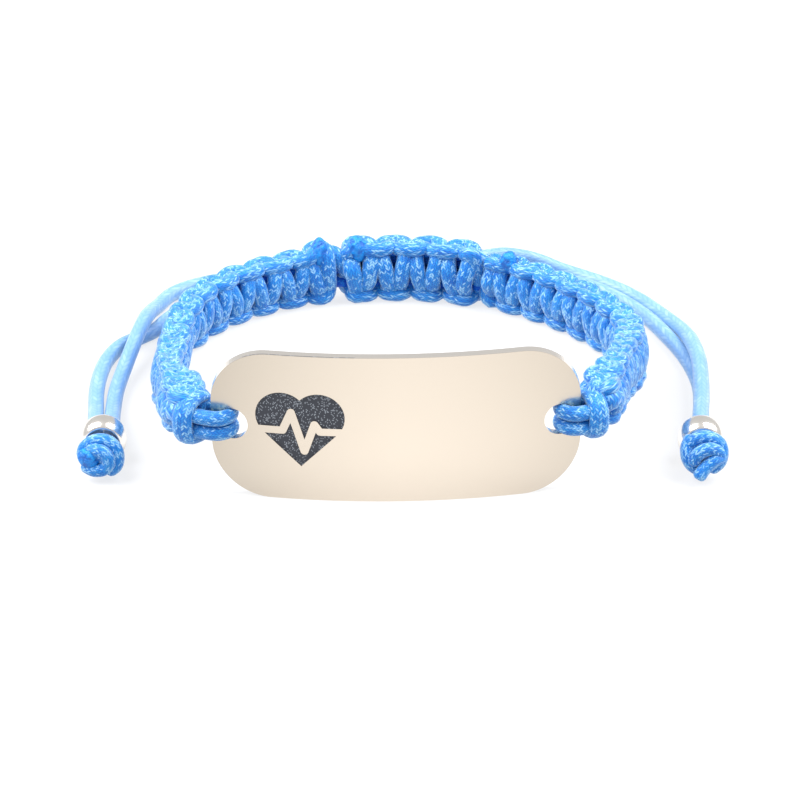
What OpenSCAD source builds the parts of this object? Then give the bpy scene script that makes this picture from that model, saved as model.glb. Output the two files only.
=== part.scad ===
// Adjustable cord bracelet with a curved steel identity plate.
// It lies open on a surface: the plate stands on its lower edge at the front, and the
// knotted cord band runs round from its two holes and settles on the surface at the back.
// X is to the wearer's right, the plate faces -Y, and Z = 0 is the surface.

/* [Plate] */
// Length of the plate, measured along its curve
plate_length = 42; // [34:0.5:50]
// Height of the plate
plate_height = 18; // [14:0.5:22]
// Thickness of the steel
plate_thickness = 1.1; // [0.8:0.1:1.6]
// Radius that the plate's face is bent to
plate_bend = 74; // [50:1:120]
// Radius of the plate's four corners
corner_radius = 6.6; // [3:0.1:7]
// Radius of the hole at each end
hole_radius = 1.9; // [1.9:0.05:2.2]
// Distance of each hole's centre from the end of the plate
hole_inset = 2.35; // [2.2:0.05:4]

/* [Engraving] */
// Width of the engraved heart
mark_width = 10; // [6:0.5:12]
// Depth of the engraving
mark_depth = 0.15; // [0.1:0.01:0.3]
// How far the engraving sits to the left of the plate's middle
mark_left = 10.7; // [6:0.1:12]
// Width of the pulse line that is left standing across the heart
pulse_width = 0.9; // [0.6:0.05:1.4]

/* [Cord] */
// Diameter of the braided cord
cord_d = 1.9; // [1.6:0.05:2]
// Width of the knotted straps, from edge to edge
strap_width = 7.2; // [6:0.1:7.6]
// Width of each strap's first knot, next to the plate
first_knot_width = 6.6; // [5:0.1:7]
// Width of each strap's last knots, next to the sliding knot
last_knot_width = 7.9; // [7:0.1:8.2]
// How far the last knot of each strap rises above the others, where its cut ends are melted
last_knot_rise = 0.9; // [0:0.1:1.2]
// Thickness of the knotted straps
strap_thickness = 4.4; // [3.6:0.1:5]
// Width of the sliding knot, which closes over two more cords
slider_width = 8.7; // [7.8:0.1:9]
// Thickness of the sliding knot
slider_thickness = 5.1; // [4:0.1:5.6]
// Length of one square knot along the left strap
left_pitch = 4.1; // [3.4:0.1:5]
// Length of one square knot along the right strap
right_pitch = 3.8; // [3.4:0.1:5]
// How far the bumps of the knots stand out from the band's edges
knot_relief = 0.55; // [0.2:0.05:0.8]

/* [Closure] */
// Length of one square knot along the sliding knot
slider_pitch = 4.4; // [3.6:0.1:5.2]
// Length of the sliding knot
slider_length = 18.6; // [12:0.1:24]
// Where the middle of the sliding knot lies along the back, from the ring's middle
slider_shift = 1.2; // [-3:0.1:3]
// Outer diameter of the beads
bead_d = 5.4; // [5:0.1:6.5]
// Length of the beads
bead_length = 3.2; // [2.8:0.1:3.6]
// Diameter of the hole through the beads
bead_bore_d = 3.96; // [3.9:0.02:4.2]
// Diameter of the overhand knots at the ends
end_knot_d = 5; // [4.6:0.1:5.4]
// Length of the overhand knots
end_knot_length = 3.8; // [3.4:0.1:4.2]

/* [Hidden] */
$fn = 96;
steel = "gainsboro";
cord_blue = "dodgerblue";

// Place of the plate: the middle of its face, a little left of the ring's middle
plate_x = -1.1;
plate_y = -28;
mid_z = plate_height / 2;
half_angle = plate_length / 2 / plate_bend * 180 / PI;
hole_angle = (plate_length / 2 - hole_inset) / plate_bend * 180 / PI;

// Height of the band's middle line at its left end, its right end and where it has settled
left_start_z = mid_z - 0.2;
right_start_z = mid_z + 0.5;
floor_gap = 0.05;
band_rest_z = last_knot_width / 2 + floor_gap;
slider_lift = (slider_width - last_knot_width) / 2;
// Distance along each strap over which it comes down
left_settle_length = 27;
right_settle_length = 33;
// Distances from the plate over which the knots grow to the strap's width, and from which
// they grow again to the last knots
widen_length = 6;
widen_again_from = 34;
widen_again_length = 14;
// Length at each strap's end over which the last knot rises
rise_length = 2.6;
// Distances from the sliding knot's ends to the middle of the nearest bump on the left strap, on
// the right strap and on the sliding knot itself
left_bump_gap = 0.25;
right_bump_gap = 2.05;
slider_bump_gap = 0.15;

// Cord loops: each passes through the hole and round the plate's rim
loop_d = cord_d - 0.1;
loop_bend = 1.6;
loop_centre_out = 1.8;
loop_leg = 1.45;
loop_spread = loop_d + 0.04;

// Middle line of the band seen from above, from the plate's left end round to its right end
BAND_ROUTE = [
    [-22.8, -24.2],
    [-24.6, -23.2],
    [-25.9, -20.2],
    [-26.6, -14],
    [-27.1, -6],
    [-27.2, 2.2],
    [-26.9, 9.2],
    [-24.2, 15.4],
    [-18.8, 20.6],
    [-11, 24.2],
    [0, 25.4],
    [8.6, 23.4],
    [15.2, 19.7],
    [20.6, 14.9],
    [24.8, 9.4],
    [27.1, 3.2],
    [26.5, -4.4],
    [24.6, -12],
    [22.9, -18.8],
    [21.85, -22.4],
    [21.05, -23.75],
];

// The four tails, from the sliding knot to the end knot. The left pair crosses once, and the
// right pair lies one cord on the other before its bead.
LEFT_OUTER_ROUTE = [
    [-8.75, 27.4, 5], [-11.5, 28.9, 4], [-15, 29.8, 2.4], [-19, 29.9, 1.2], [-23, 29.2, 1],
    [-27, 27.3, 1], [-29.6, 24.8, 1], [-31, 21.2, 1.2], [-31.8, 17.3, 2.1],
    [-32.2, 13.2, 2.95], [-32.95, 8.8, 2.6], [-33.9, 3.6, 1.6], [-34.55, -1.6, 1.1],
    [-34.6, -6.6, 1.1], [-34.35, -11.2, 2], [-33.98, -15, 2.7], [-33.93, -18.45, 2.7],
];
LEFT_INNER_ROUTE = [
    [-8.75, 27.4, 3], [-12, 28, 1.8], [-16, 27.7, 1], [-20, 26.9, 1], [-24, 24.6, 1],
    [-27.3, 21.2, 1], [-29.5, 17.7, 1], [-31, 14.6, 1], [-33, 12.4, 1], [-35.1, 10, 1],
    [-36.4, 6.2, 1], [-36.9, 2, 1], [-36.95, -2.4, 1], [-36.65, -6.8, 1.1], [-36.3, -11.2, 2],
    [-35.95, -15, 2.7], [-35.87, -18.45, 2.7],
];
RIGHT_OUTER_ROUTE = [
    [10.1, 26.3, 5], [13.3, 28.5, 4.3], [17, 30, 2.9], [20.5, 29.7, 1.5], [23.8, 28.1, 1],
    [26.9, 25.3, 1], [29.9, 21.5, 1], [32.3, 17, 1.1], [34.1, 12.2, 1.6], [34.75, 9.4, 2.05],
    [35.15, 6.4, 2.5], [35.45, 1, 2.95], [35.25, -4.5, 2.95], [34.8, -10, 3.05],
    [34.25, -14.5, 3.45], [33.6, -20.7, 3.6],
];
RIGHT_INNER_ROUTE = [
    [10.1, 26.3, 3], [13.8, 27.7, 1.8], [18.2, 27.9, 1], [22.4, 26.6, 1], [25.4, 24, 1],
    [28.3, 20.3, 1], [30.6, 16.1, 1], [32.4, 11.4, 1], [34, 6.3, 1], [35, 1, 1],
    [35.3, -3.5, 1], [34.9, -9, 1], [34.45, -14.5, 1.5], [34.2, -20.7, 1.8],
];
LEFT_BEAD = [-34.9, -17, bead_d / 2];
RIGHT_BEAD = [33.9, -19.2, bead_d / 2];
LEFT_KNOT = [-34.9, -20.9, 2.55];
RIGHT_KNOT = [33.8, -22.95, 2.95];
// Radius of the end knots' middle turn and outer turns of cord, and the step between them
turn_r = 0.9;
side_turn_r = 0.75;
turn_step = 1.15;

// Shape of the band's section: height across the band and depth through it, as shares of the
// half width and half thickness, with how much each point follows the bumps of the knots.
// The upper half is given; the lower half repeats it half a knot further on.
SECTION = [
    // across, through, bump
    [1.00, 0.00, 1.0],
    [0.95, 0.52, 1.0],
    [0.80, 0.90, 0.7],
    [0.64, 0.84, 0.0],
    [0.44, 1.00, 0.1],
    [0.00, 0.94, 0.0],
];
section_last = len(SECTION) - 1;
rings_per_knot = 8;
tail_ring_spacing = 3.65;
tail_sides = 8;
end_taper = 1.6;
end_share = 0.62;
piece_gap = 0.3;

// Small helpers on lists and curves

function unit(v) = v / norm(v);
function lerp(a, b, t) = a + (b - a) * t;
function clamp01(t) = min(1, max(0, t));
function smooth(t) = let (c = clamp01(t)) c * c * (3 - 2 * c);

// Point at parameter t of the smooth curve through four route points, between the middle two
function catmull(p0, p1, p2, p3, t) =
    0.5 * (2 * p1 + (p2 - p0) * t + (2 * p0 - 5 * p1 + 4 * p2 - p3) * pow(t, 2)
        + (3 * p1 - p0 - 3 * p2 + p3) * pow(t, 3));

// The route with its ends carried on straight, so that the curve reaches both end points
function with_ends(route) =
    let (n = len(route))
    concat([2 * route[0] - route[1]], route, [2 * route[n - 1] - route[n - 2]]);

// Fine points along the smooth curve through a route
function curve(route, steps = 12) =
    let (p = with_ends(route), n = len(route))
    concat(
        [for (i = [1 : n - 1], k = [0 : steps - 1]) catmull(p[i - 1], p[i], p[i + 1], p[i + 2], k / steps)],
        [route[n - 1]]
    );

// Running length at each point of a line
function running(line, i = 0, total = 0, out = []) =
    i == len(line)
        ? out
        : let (step = i == 0 ? 0 : norm(line[i] - line[i - 1]))
            running(line, i + 1, total + step, concat(out, [total + step]));

// Index of the last point of a line at or before a running length, found by halving
function index_at(runs, s, lo, hi) =
    hi - lo <= 1
        ? lo
        : let (mid = floor((lo + hi) / 2))
            runs[mid] <= s ? index_at(runs, s, mid, hi) : index_at(runs, s, lo, mid);

// Point of a line at a running length
function point_at(line, runs, s) =
    let (i = index_at(runs, s, 0, len(line) - 1), span = runs[i + 1] - runs[i])
    lerp(line[i], line[i + 1], (s - runs[i]) / span);

band_line = curve(BAND_ROUTE);
band_runs = running(band_line);
band_length = band_runs[len(band_runs) - 1];

// Running length of the band's line where it crosses a given X at the back
function back_run(x) =
    let (hits = [for (i = [0 : len(band_line) - 2])
        if (band_line[i][1] > 0 && band_line[i][0] <= x && band_line[i + 1][0] > x) band_runs[i]])
    hits[0];

slider_start = back_run(slider_shift) - slider_length / 2;
slider_end = slider_start + slider_length;

// Distance along the band from the nearer end of the plate
function from_plate(s) = min(s, band_length - s);

// Height of the band's middle line at a running length: it comes down from each end
function band_z(s) =
    s < band_length / 2
        ? lerp(left_start_z, band_rest_z, smooth(s / left_settle_length))
        : lerp(right_start_z, band_rest_z, smooth((band_length - s) / right_settle_length));

// Width and thickness of a strap at a running length
function strap_size(s) =
    let (
        d = from_plate(s),
        grown = smooth(d / widen_length),
        width = lerp(first_knot_width, strap_width, grown)
            + (last_knot_width - strap_width) * smooth((d - widen_again_from) / widen_again_length)
    )
    [width, strap_thickness * lerp(0.85, 1, grown)];

// Share of the last knot's rise at a running length, full beside the sliding knot
function last_knot_share(s) =
    1 - smooth((min(abs(s - slider_start), abs(s - slider_end)) - rise_length) / rise_length);

function band_point(s) =
    let (p = point_at(band_line, band_runs, s))
    [p[0], p[1], band_z(s)];

// Unit direction along the band, and outwards from the ring, both level
function band_along(s) =
    let (h = 0.3, a = point_at(band_line, band_runs, max(0, s - h)),
        b = point_at(band_line, band_runs, min(band_length, s + h)), d = unit(b - a))
    [d[0], d[1], 0];
function band_out(s) =
    let (d = band_along(s))
    [-d[1], d[0], 0];

// Size of the section at a distance from the nearer end of a piece
function end_scale(d) = lerp(end_share, 1, sin(90 * clamp01(d / end_taper)));

// One ring of the band's section at running length s, for a width and thickness. It lies a
// number of knots past the middle of a bump. The lift moves the whole ring up, and the rise adds
// to its top only.
function band_ring(s, from_end, size, knots, lift, rise) =
    let (
        centre = band_point(s) + [0, 0, lift],
        out = band_out(s),
        share = end_scale(from_end),
        turn = 360 * knots,
        dip_up = knot_relief * (1 - cos(turn)) / 2 - rise,
        dip_down = knot_relief * (1 + cos(turn)) / 2
    )
    [for (q = section_points(size, dip_up, dip_down)) centre + share * (q[0] * [0, 0, 1] + q[1] * out)];

// Points of the section in order round it: over the top, down the outside, back up the inside
function section_point(row, side, down, size, dip) =
    [(down ? -1 : 1) * row[0] * (size[0] / 2 - row[2] * dip), side * row[1] * size[1] / 2];
function section_points(size, dip_up, dip_down) = concat(
    [for (i = [0 : section_last]) section_point(SECTION[i], 1, false, size, dip_up)],
    [for (i = [section_last - 1 : -1 : 0]) section_point(SECTION[i], 1, true, size, dip_down)],
    [for (i = [1 : section_last]) section_point(SECTION[i], -1, true, size, dip_down)],
    [for (i = [section_last - 1 : -1 : 1]) section_point(SECTION[i], -1, false, size, dip_up)]
);

// A closed skin over a list of rings that have the same number of points
module skin(rings) {
    n = len(rings[0]);
    last = len(rings) - 1;
    points = [for (ring = rings) each ring];
    sides = [for (i = [0 : last - 1], j = [0 : n - 1])
        let (k = (j + 1) % n)
        each [
            [i * n + j, i * n + k, (i + 1) * n + k],
            [i * n + j, (i + 1) * n + k, (i + 1) * n + j],
        ]];
    caps = [
        [for (j = [n - 1 : -1 : 0]) j],
        [for (j = [0 : n - 1]) last * n + j],
    ];
    polyhedron(points = points, faces = concat(sides, caps), convexity = 6);
}

// A length of strap between two running lengths, with its knots counted from one of its bumps
module strap(start, end, bump, pitch) {
    count = ceil((end - start) / pitch * rings_per_knot);
    color(cord_blue)
        skin([for (i = [0 : count])
            let (s = lerp(start, end, i / count), rise = last_knot_rise * last_knot_share(s))
            band_ring(s, min(s - start, end - s), strap_size(s), (s - bump) / pitch, 0, rise)]);
}

// A round cord of even thickness along a route
module cord_tube(route) {
    line = curve(route);
    runs = running(line);
    length = runs[len(runs) - 1];
    count = ceil(length / tail_ring_spacing);
    skin([for (i = [0 : count])
        let (
            s = length * i / count,
            p = point_at(line, runs, s),
            ahead = point_at(line, runs, min(length, s + 0.2)),
            behind = point_at(line, runs, max(0, s - 0.2)),
            d = unit(ahead - behind),
            side = unit(cross(d, [0, 0, 1])),
            up = cross(side, d)
        )
        [for (k = [0 : tail_sides - 1])
            let (a = 360 * (k + 0.5) / tail_sides)
            p + cord_d / 2 * (cos(a) * side + sin(a) * up)]]);
}

// Straight line of even width between two points, with round ends
module stroke(a, b, width) {
    d = b - a;
    translate(a) rotate(atan2(d[1], d[0])) translate([0, -width / 2]) square([norm(d), width]);
    translate(a) circle(d = width, $fn = 24);
    translate(b) circle(d = width, $fn = 24);
}

// Outline of the heart, its point down, centred on its own height
module heart(width) {
    side = width / 1.707;
    lobe = side / 2;
    translate([0, -0.06 * width])
        rotate(45)
            union() {
                square(side, center = true);
                translate([0, lobe]) circle(lobe);
                translate([lobe, 0]) circle(lobe);
            }
}

// Beat of the pulse line across the heart, as shares of the heart's width
PULSE = [[-0.62, -0.03], [-0.2, -0.03], [-0.1, 0.2], [0.04, -0.28], [0.16, 0.06], [0.22, -0.03], [0.62, -0.03]];

module pulse_line() {
    for (i = [0 : len(PULSE) - 2])
        stroke(PULSE[i] * mark_width, PULSE[i + 1] * mark_width, pulse_width);
}

module engraved_area() {
    difference() {
        heart(mark_width);
        pulse_line();
    }
}

// A flat outline stood up facing -Y and run back through a depth
module stand_up(depth) {
    translate([0, depth, 0]) rotate([90, 0, 0]) linear_extrude(depth) children();
}

module plate_outline() {
    width = 2 * plate_bend * sin(half_angle);
    hull()
        for (x = [-1, 1], y = [-1, 1])
            translate([x * (width / 2 - corner_radius), y * (plate_height / 2 - corner_radius)])
                circle(corner_radius);
}

// Bent sheet between two radii, with its face touching Y = 0 in the middle
module bent_sheet(outer, inner) {
    translate([0, plate_bend, -1])
        difference() {
            cylinder(h = plate_height + 2, r = outer, $fn = 180);
            translate([0, 0, -1]) cylinder(h = plate_height + 4, r = inner, $fn = 180);
        }
}

// Place at an angle along the plate's face, with +X pointing out along the plate
module at_hole(side) {
    translate([plate_x, plate_y + plate_bend, mid_z])
        rotate([0, 0, side * hole_angle])
            translate([0, -plate_bend, 0])
                children();
}

module id_plate() {
    color(steel)
        difference() {
            translate([plate_x, plate_y, 0])
                difference() {
                    intersection() {
                        bent_sheet(plate_bend, plate_bend - plate_thickness);
                        translate([0, -1, mid_z]) stand_up(12) plate_outline();
                    }
                    intersection() {
                        bent_sheet(plate_bend + 1, plate_bend - mark_depth);
                        translate([-mark_left, -1, mid_z]) stand_up(4) engraved_area();
                    }
                }
            for (side = [-1, 1])
                at_hole(side) rotate([90, 0, 0]) cylinder(r = hole_radius, h = 6, center = true);
        }
}

// One cord that comes from the strap in front of the rim, through the hole and back behind it
module hole_loop(side, level) {
    color(cord_blue)
        at_hole(side)
            translate([side * loop_centre_out, plate_thickness / 2, level * loop_spread / 2])
                mirror([side < 0 ? 1 : 0, 0, 0]) {
                    rotate([0, 0, 90])
                        rotate_extrude(angle = 180) translate([loop_bend, 0]) circle(d = loop_d, $fn = 48);
                    for (face = [-1, 1])
                        translate([0, face * loop_bend, 0])
                            rotate([0, 90, 0]) cylinder(d = loop_d, h = loop_leg, $fn = 48);
                }
}

module left_upper_loop() {
    hole_loop(-1, 1);
}

module left_lower_loop() {
    hole_loop(-1, -1);
}

module right_upper_loop() {
    hole_loop(1, 1);
}

module right_lower_loop() {
    hole_loop(1, -1);
}

module left_strap() {
    strap(0, slider_start - piece_gap, slider_start - left_bump_gap, left_pitch);
}

module right_strap() {
    strap(slider_end + piece_gap, band_length, slider_end + right_bump_gap, right_pitch);
}

module sliding_knot() {
    size = [slider_width, slider_thickness];
    count = ceil(slider_length / slider_pitch * rings_per_knot);
    color(cord_blue)
        skin([for (i = [0 : count])
            let (d = slider_length * i / count, knots = (d - slider_bump_gap) / slider_pitch)
            band_ring(slider_start + d, min(d, slider_length - d), size, knots, slider_lift, 0)]);
}

module left_outer_tail() {
    color(cord_blue) cord_tube(LEFT_OUTER_ROUTE);
}

module left_inner_tail() {
    color(cord_blue) cord_tube(LEFT_INNER_ROUTE);
}

module right_outer_tail() {
    color(cord_blue) cord_tube(RIGHT_OUTER_ROUTE);
}

module right_inner_tail() {
    color(cord_blue) cord_tube(RIGHT_INNER_ROUTE);
}

// Drilled barrel bead with rounded rims, its hole along Y
module bead(place) {
    rim = 0.9;
    color(steel)
        translate(place)
            rotate([90, 0, 0])
                difference() {
                    union() {
                        cylinder(d = bead_d, h = bead_length - 2 * rim, center = true);
                        for (end = [-1, 1])
                            translate([0, 0, end * (bead_length / 2 - rim)])
                                rotate_extrude() translate([bead_d / 2 - rim, 0]) circle(rim, $fn = 48);
                        cylinder(d = bead_d - 2 * rim, h = bead_length, center = true);
                    }
                    cylinder(d = bead_bore_d, h = bead_length + 2, center = true);
                }
}

module left_bead() {
    bead(LEFT_BEAD);
}

module right_bead() {
    bead(RIGHT_BEAD);
}

// Half outline of the overhand knot: three turns of cord side by side, the middle one largest
module end_knot_profile() {
    middle_out = end_knot_d / 2 - turn_r;
    side_out = end_knot_d / 2 - turn_r - side_turn_r / 2;
    half_side = end_knot_length / 2 - turn_step;
    translate([0, -turn_step]) square([side_out, 2 * turn_step]);
    translate([middle_out, 0]) circle(turn_r, $fn = 48);
    for (end = [-1, 1])
        intersection() {
            translate([side_out, end * turn_step]) circle(half_side, $fn = 48);
            translate([0, -end_knot_d]) square([end_knot_d, 2 * end_knot_d]);
        }
    translate([0, -end_knot_length / 2]) square([side_out, end_knot_length]);
}

// Overhand knot lying on a slant, with the cut ends of its cords standing out in a direction
module end_knot(place, lean, stub, stub_length) {
    color(cord_blue)
        translate(place) {
            rotate([0, 0, lean]) rotate([90, 0, 0]) rotate_extrude() end_knot_profile();
            rotate([0, acos(stub[2] / norm(stub)), atan2(stub[1], stub[0])])
                cylinder(d = loop_d, h = stub_length, $fn = 48);
        }
}

module left_end_knot() {
    end_knot(LEFT_KNOT, -22, [-0.4, -1, 0], 2.2);
}

module right_end_knot() {
    end_knot(RIGHT_KNOT, 14, [-1.3, -2.6, -1.5], 3.4);
}

id_plate();
left_upper_loop();
left_lower_loop();
right_upper_loop();
right_lower_loop();
left_strap();
right_strap();
sliding_knot();
left_outer_tail();
left_inner_tail();
right_outer_tail();
right_inner_tail();
left_bead();
right_bead();
left_end_knot();
right_end_knot();
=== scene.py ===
# %% [markdown]
# # A knotted cord bracelet with an engraved steel plate
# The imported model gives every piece's place and size, in metres. This lesson dresses it: each
# piece is made where its plain solid lies, and gets the surface that the real one has.

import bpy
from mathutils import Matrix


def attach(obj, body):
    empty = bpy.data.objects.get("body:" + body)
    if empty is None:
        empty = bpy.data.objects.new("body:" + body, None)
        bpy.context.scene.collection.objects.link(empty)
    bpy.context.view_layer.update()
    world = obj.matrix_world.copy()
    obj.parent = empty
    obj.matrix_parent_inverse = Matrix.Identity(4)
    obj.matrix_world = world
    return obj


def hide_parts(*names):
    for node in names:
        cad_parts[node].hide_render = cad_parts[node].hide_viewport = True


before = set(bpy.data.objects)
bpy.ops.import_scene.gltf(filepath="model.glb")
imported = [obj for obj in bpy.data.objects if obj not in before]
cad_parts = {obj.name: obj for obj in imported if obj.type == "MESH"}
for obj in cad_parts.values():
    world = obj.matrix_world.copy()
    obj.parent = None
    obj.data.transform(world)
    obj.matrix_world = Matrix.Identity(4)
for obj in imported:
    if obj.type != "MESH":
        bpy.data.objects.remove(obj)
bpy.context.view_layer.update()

# %% [markdown]
# ## Tools of the bench
# Blender's own modules, numpy for long lists of points, and one seeded source of chance, so
# that every run ties the same knots.

# %% Modules and units
import math
import random

import bmesh
import bpy
import numpy as np
from mathutils import Matrix, Vector

MM = 0.001
chance = random.Random(11)
scene = bpy.context.scene
print("Blender", bpy.app.version_string, "measures in metres, and a millimetre is", MM)

# %% [markdown]
# ## Camera
# The picture is a product shot through a long lens, from 28 degrees above the surface and
# square to the plate. The camera leans by less than a degree, which is why the right end of the
# bracelet looks a little higher. A small shift of the lens puts the plate where it is in the
# picture without turning the camera.

# %% Camera
LOOK_AT = Vector((-1.1, -28, 9)) * MM
ELEVATION = math.radians(28)
LEAN = math.radians(0.791)
DISTANCE = 345 * MM
LENS = 139.44

back = Vector((0, -math.cos(ELEVATION), math.sin(ELEVATION)))
level = Vector((1, 0, 0))
upright = Vector((0, math.sin(ELEVATION), math.cos(ELEVATION)))
right = math.cos(LEAN) * level - math.sin(LEAN) * upright
up = math.sin(LEAN) * level + math.cos(LEAN) * upright

camera_data = bpy.data.cameras.new("product_camera")
camera_data.lens = LENS
camera_data.sensor_width = 36
camera_data.shift_x = 0.0048
camera_data.shift_y = 0.0385
camera_data.clip_start = 0.01
camera = bpy.data.objects.new("product_camera", camera_data)
camera.matrix_world = Matrix.Translation(LOOK_AT + DISTANCE * back) @ Matrix(
    (right, up, back)
).transposed().to_4x4()
scene.collection.objects.link(camera)
scene.camera = camera
print("camera at", [round(c, 3) for c in camera.matrix_world.translation])

# %% [markdown]
# ## Lines that cords follow
# A cord is a tube along a line. Blender's own curves could draw it, but their handles have to be
# set for each point. A Catmull-Rom curve needs only the points that the cord goes through, and
# passes through every one of them. Points at an even distance along it then carry the rings of
# the tube.


# %% Smooth lines
def smooth_line(points, steps=10):
    """Fine points along the smooth curve through a list of points."""
    p = np.array(points, float)
    p = np.vstack([2 * p[0] - p[1], p, 2 * p[-1] - p[-2]])
    t = (np.arange(steps) / steps)[:, None]
    parts = []
    for a, b, c, d in zip(p, p[1:], p[2:], p[3:]):
        bend, twist = 2 * a - 5 * b + 4 * c - d, 3 * b - a - 3 * c + d
        parts.append(0.5 * (2 * b + (c - a) * t + bend * t**2 + twist * t**3))
    return np.vstack(parts + [p[-2:-1]])


def evenly(line, spacing):
    """The same line with its points an even distance apart, and its length."""
    runs = np.concatenate([[0], np.cumsum(np.linalg.norm(np.diff(line, axis=0), axis=1))])
    count = max(3, int(round(runs[-1] / spacing)) + 1)
    at = np.linspace(0, runs[-1], count)
    return np.stack([np.interp(at, runs, line[:, k]) for k in range(3)], axis=1), runs[-1]


_, bow_length = evenly(smooth_line([(0, 0, 0), (10, 5, 0), (20, 0, 0)]), 0.5)
print("a smooth bow over 20 mm, 5 mm high, is", round(bow_length, 1), "mm long")

# %% [markdown]
# ## Directions round a cord
# A tube needs two directions square to its line at every point. Taken afresh from the bends they
# would flip over at each change of bend. Here each pair is turned as little as possible from the
# one before it, so the weave of the cord doesn't twist.


# %% Ring frames
def unit(v):
    """A direction, made one long."""
    return v / np.linalg.norm(v)


def ring_frames(line):
    """Two directions square to the line at each point, carried along without twist."""
    ahead = np.gradient(line, axis=0)
    ahead /= np.linalg.norm(ahead, axis=1)[:, None]
    start = np.cross(ahead[0], [0.0, 0.0, 1.0])
    if np.linalg.norm(start) < 0.2:  # the line starts nearly upright
        start = np.cross(ahead[0], [0.0, 1.0, 0.0])
    across = [unit(start)]
    for k in range(1, len(line)):
        turned = across[-1] - ahead[k] * np.dot(across[-1], ahead[k])
        across.append(unit(turned))
    across = np.array(across)
    return across, np.cross(ahead, across), ahead


quarter = [(math.cos(a), math.sin(a), 0) for a in np.linspace(0, math.pi / 2, 5)]
_, over, _ = ring_frames(quarter)
print("along a flat quarter turn the second direction stays", over[-1].round(2))

# %% [markdown]
# ## A cord as a tube
# A curve with a bevel would make a tube too, but here the rings are made one by one, so that the
# braid can be laid on them. The UV map holds millimetres along the cord and the share of the way
# round it, which is what the braid's pattern is drawn with. Small domes close the ends.

# %% Tubes
DOME = 0.6  # height of an end's dome, as a share of the cord's radius


def tube(name, line, radius, sides=12, spacing=0.4, uv_start=0.0, laid=None):
    """A cord of even radius along a line, all in millimetres. Returns it and its ring centres.
    `laid` is a function that takes the finished tube's points to another place and shape."""
    centres, length = evenly(np.asarray(line, float), spacing)
    across, over, ahead = ring_frames(centres)
    step = length / (len(centres) - 1)
    domes = [(-DOME * radius, 0.55), (-0.6 * DOME * radius, 0.86)]
    # each ring: middle, its two directions, share of the radius, and distance along the cord
    rings = [(centres[0] + ahead[0] * d, across[0], over[0], s, d) for d, s in domes]
    rings += [(centres[k], across[k], over[k], 1.0, k * step) for k in range(len(centres))]
    rings += [
        (centres[-1] - ahead[-1] * d, across[-1], over[-1], s, length - d)
        for d, s in reversed(domes)
    ]
    angle = 2 * np.pi * np.arange(sides)[:, None] / sides
    points = np.vstack([
        centre + radius * s * (np.cos(angle) * a + np.sin(angle) * b)
        for centre, a, b, s, _ in rings
    ])
    points = (laid(points) if laid else points) * MM
    faces, spots = [], []
    for i in range(len(rings) - 1):
        low, high = uv_start + rings[i][4], uv_start + rings[i + 1][4]
        for j in range(sides):
            k = (j + 1) % sides
            faces.append((i * sides + j, i * sides + k, (i + 1) * sides + k, (i + 1) * sides + j))
            v, w = j / sides, (j + 1) / sides
            spots += [(low, v), (low, w), (high, w), (high, v)]
    last = (len(rings) - 1) * sides
    faces.append(tuple(range(sides - 1, -1, -1)))
    faces.append(tuple(last + j for j in range(sides)))
    spots += [(uv_start, j / sides) for j in range(sides)] * 2
    mesh = bpy.data.meshes.new(name)
    mesh.from_pydata(points.tolist(), [], faces)
    mesh.uv_layers.new(name="cord").data.foreach_set("uv", np.array(spots).ravel())
    mesh.shade_smooth()
    piece = bpy.data.objects.new(name, mesh)
    scene.collection.objects.link(piece)
    return piece, centres * MM


# %% [markdown]
# ## Tying pieces to the bracelet
# Each piece moves with the bracelet's one body, and the plain solids that it stands for are
# hidden. One function does both for every piece, so that none is forgotten.


# %% Place
def place(piece, slot_name, *nodes):
    """Ties a finished piece to the bracelet's one body, and hides the solids it stands for."""
    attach(piece, "root")
    if nodes:
        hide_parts(*nodes)
    return piece


print("pieces will stand for", len(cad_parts), "solids, less the plate, which stays")
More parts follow.
